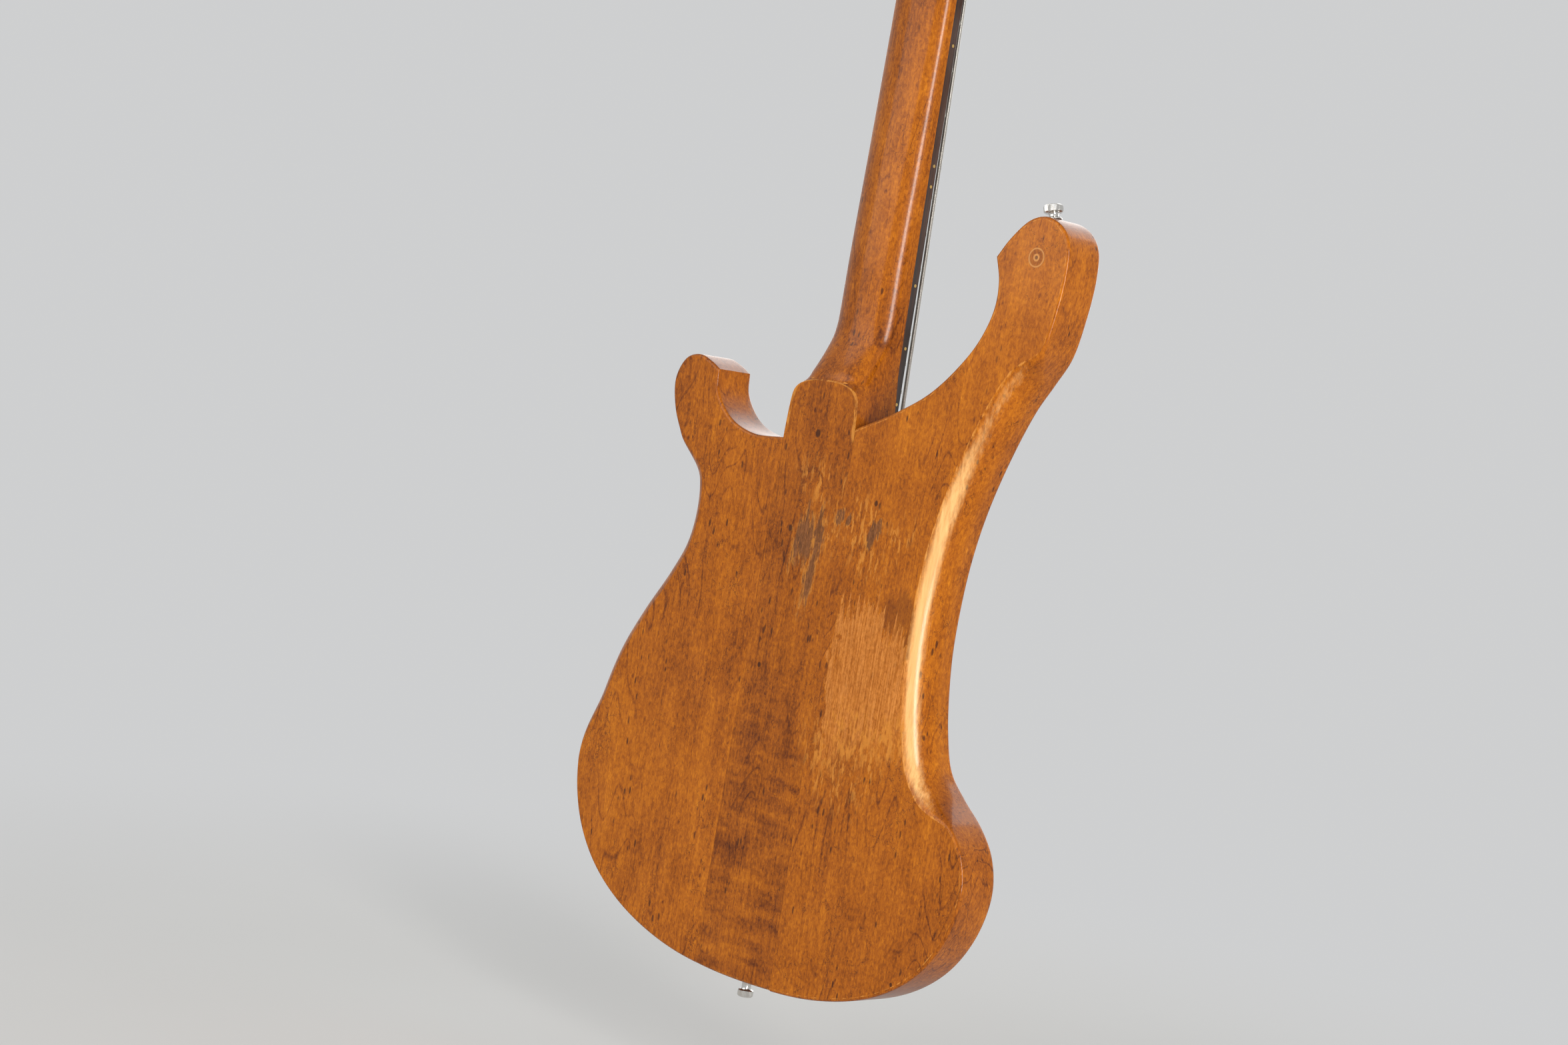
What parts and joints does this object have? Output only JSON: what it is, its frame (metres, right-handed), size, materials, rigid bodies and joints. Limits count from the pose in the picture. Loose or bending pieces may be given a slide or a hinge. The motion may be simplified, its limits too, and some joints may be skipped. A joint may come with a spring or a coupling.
{
  "type": "electric bass guitar",
  "caption": "Solid-body electric bass guitar with a neck that runs through the body, two horns, contoured back edges, worm-gear tuners, sliding saddles and turning knobs",
  "frame": {"origin": "On the centre line, level with the nut's face towards the fingerboard, in the plane of the body's front face", "axes": "+Z runs from the tail to the head, -Y is the side of the strings, +Y is the back, +X is the treble side"},
  "size_m": [0.3431, 0.0586, 1.1336],
  "materials": {
    "maple": "aged amber gloss lacquer, worn through in places",
    "rosewood": "dark lacquered rosewood",
    "bone": "smooth off-white",
    "chrome": "aged bright plating",
    "nickel": "aged nickel plating",
    "brass": "plain turned brass",
    "steel": "plain steel",
    "string_steel": "round-wound steel",
    "white_plastic": "aged white gloss",
    "black_plastic": "black gloss"
  },
  "bodies": {
    "guitar": {"neck_blank": "maple", "body_wing_bass": "maple", "body_wing_treble": "maple", "head_wing_bass": "maple", "head_wing_treble": "maple", "fingerboard": "rosewood", "nut": "bone", "truss_rod_bass": "steel", "truss_rod_treble": "steel", "truss_cover": "white_plastic", "pickguard": "white_plastic", "neck_pickup_ring": "black_plastic", "bridge_pickup_ring": "black_plastic", "neck_pickup": "chrome", "bridge_pickup": "chrome", "jack_plate": "chrome", "jack_socket": "chrome", "tailpiece": "chrome", "bridge_frame": "chrome", "strap_button_horn": "chrome", "strap_button_tail": "chrome", "pot_neck_volume": "nickel", "pot_bridge_volume": "nickel", "pot_neck_tone": "nickel", "pot_bridge_tone": "nickel", "switch_body": "nickel", "string_e": "string_steel", "tuner_plate_e": "nickel", "tuner_bushing_e": "nickel", "string_a": "string_steel", "tuner_plate_a": "nickel", "tuner_bushing_a": "nickel", "string_d": "string_steel", "tuner_plate_d": "nickel", "tuner_bushing_d": "nickel", "string_g": "string_steel", "tuner_plate_g": "nickel", "tuner_bushing_g": "nickel"},
    "knob_neck_volume": {"knob_neck_volume": "black_plastic"},
    "knob_bridge_volume": {"knob_bridge_volume": "black_plastic"},
    "knob_neck_tone": {"knob_neck_tone": "black_plastic"},
    "knob_bridge_tone": {"knob_bridge_tone": "black_plastic"},
    "switch_lever": {"switch_lever": "nickel", "switch_tip": "black_plastic"},
    "saddle_e": {"saddle_e": "chrome"},
    "post_e": {"tuner_post_e": "nickel", "tuner_wheel_e": "brass"},
    "key_e": {"tuner_key_e": "nickel"},
    "saddle_a": {"saddle_a": "chrome"},
    "post_a": {"tuner_post_a": "nickel", "tuner_wheel_a": "brass"},
    "key_a": {"tuner_key_a": "nickel"},
    "saddle_d": {"saddle_d": "chrome"},
    "post_d": {"tuner_post_d": "nickel", "tuner_wheel_d": "brass"},
    "key_d": {"tuner_key_d": "nickel"},
    "saddle_g": {"saddle_g": "chrome"},
    "post_g": {"tuner_post_g": "nickel", "tuner_wheel_g": "brass"},
    "key_g": {"tuner_key_g": "nickel"}
  },
  "joints": [
    {"name": "knob_neck_volume_turn", "type": "hinge", "parent": "guitar", "child": "knob_neck_volume", "pos_m": [0.072, 0, -0.775], "axis": [0, 1, 0], "range_deg": [-135, 135]},
    {"name": "knob_bridge_volume_turn", "type": "hinge", "parent": "guitar", "child": "knob_bridge_volume", "pos_m": [0.11, 0, -0.789], "axis": [0, 1, 0], "range_deg": [-135, 135]},
    {"name": "knob_neck_tone_turn", "type": "hinge", "parent": "guitar", "child": "knob_neck_tone", "pos_m": [0.076, 0, -0.83], "axis": [0, 1, 0], "range_deg": [-135, 135]},
    {"name": "knob_bridge_tone_turn", "type": "hinge", "parent": "guitar", "child": "knob_bridge_tone", "pos_m": [0.114, 0, -0.843], "axis": [0, 1, 0], "range_deg": [-135, 135]},
    {"name": "switch_tilt", "type": "hinge", "parent": "guitar", "child": "switch_lever", "pos_m": [0.072, 0, -0.725], "axis": [1, 0, 0], "range_deg": [-12, 12]},
    {"name": "saddle_e_slide", "type": "slide", "parent": "guitar", "child": "saddle_e", "axis": [0, 0, 1], "range_m": [-0.002, 0.006]},
    {"name": "saddle_a_slide", "type": "slide", "parent": "guitar", "child": "saddle_a", "axis": [0, 0, 1], "range_m": [-0.002, 0.006]},
    {"name": "saddle_d_slide", "type": "slide", "parent": "guitar", "child": "saddle_d", "axis": [0, 0, 1], "range_m": [-0.002, 0.006]},
    {"name": "saddle_g_slide", "type": "slide", "parent": "guitar", "child": "saddle_g", "axis": [0, 0, 1], "range_m": [-0.002, 0.006]},
    {"name": "key_e_turn", "type": "hinge", "parent": "guitar", "child": "key_e", "pos_m": [-0.031, 0.02425, 0.04747], "axis": [1, 0, 0], "continuous": true},
    {"name": "post_e_turn", "type": "hinge", "parent": "guitar", "child": "post_e", "pos_m": [-0.031, 0.00407, 0.06344], "axis": [0, 0.9903, -0.1392], "continuous": true, "deforming": ["string_e"]},
    {"name": "key_a_turn", "type": "hinge", "parent": "guitar", "child": "key_a", "pos_m": [-0.03, 0.03288, 0.10887], "axis": [1, 0, 0], "continuous": true},
    {"name": "post_a_turn", "type": "hinge", "parent": "guitar", "child": "post_a", "pos_m": [-0.03, 0.0127, 0.12483], "axis": [0, 0.9903, -0.1392], "continuous": true, "deforming": ["string_a"]},
    {"name": "key_d_turn", "type": "hinge", "parent": "guitar", "child": "key_d", "pos_m": [0.03, 0.03288, 0.10887], "axis": [1, 0, 0], "continuous": true},
    {"name": "post_d_turn", "type": "hinge", "parent": "guitar", "child": "post_d", "pos_m": [0.03, 0.0127, 0.12483], "axis": [0, 0.9903, -0.1392], "continuous": true, "deforming": ["string_d"]},
    {"name": "key_g_turn", "type": "hinge", "parent": "guitar", "child": "key_g", "pos_m": [0.031, 0.02425, 0.04747], "axis": [1, 0, 0], "continuous": true},
    {"name": "post_g_turn", "type": "hinge", "parent": "guitar", "child": "post_g", "pos_m": [0.031, 0.00407, 0.06344], "axis": [0, 0.9903, -0.1392], "continuous": true, "deforming": ["string_g"]}
  ],
  "couplings": [
    {"joint": "post_e_turn", "follows": "key_e_turn", "ratio": 0.05},
    {"joint": "post_a_turn", "follows": "key_a_turn", "ratio": 0.05},
    {"joint": "post_d_turn", "follows": "key_d_turn", "ratio": 0.05},
    {"joint": "post_g_turn", "follows": "key_g_turn", "ratio": 0.05}
  ]
}
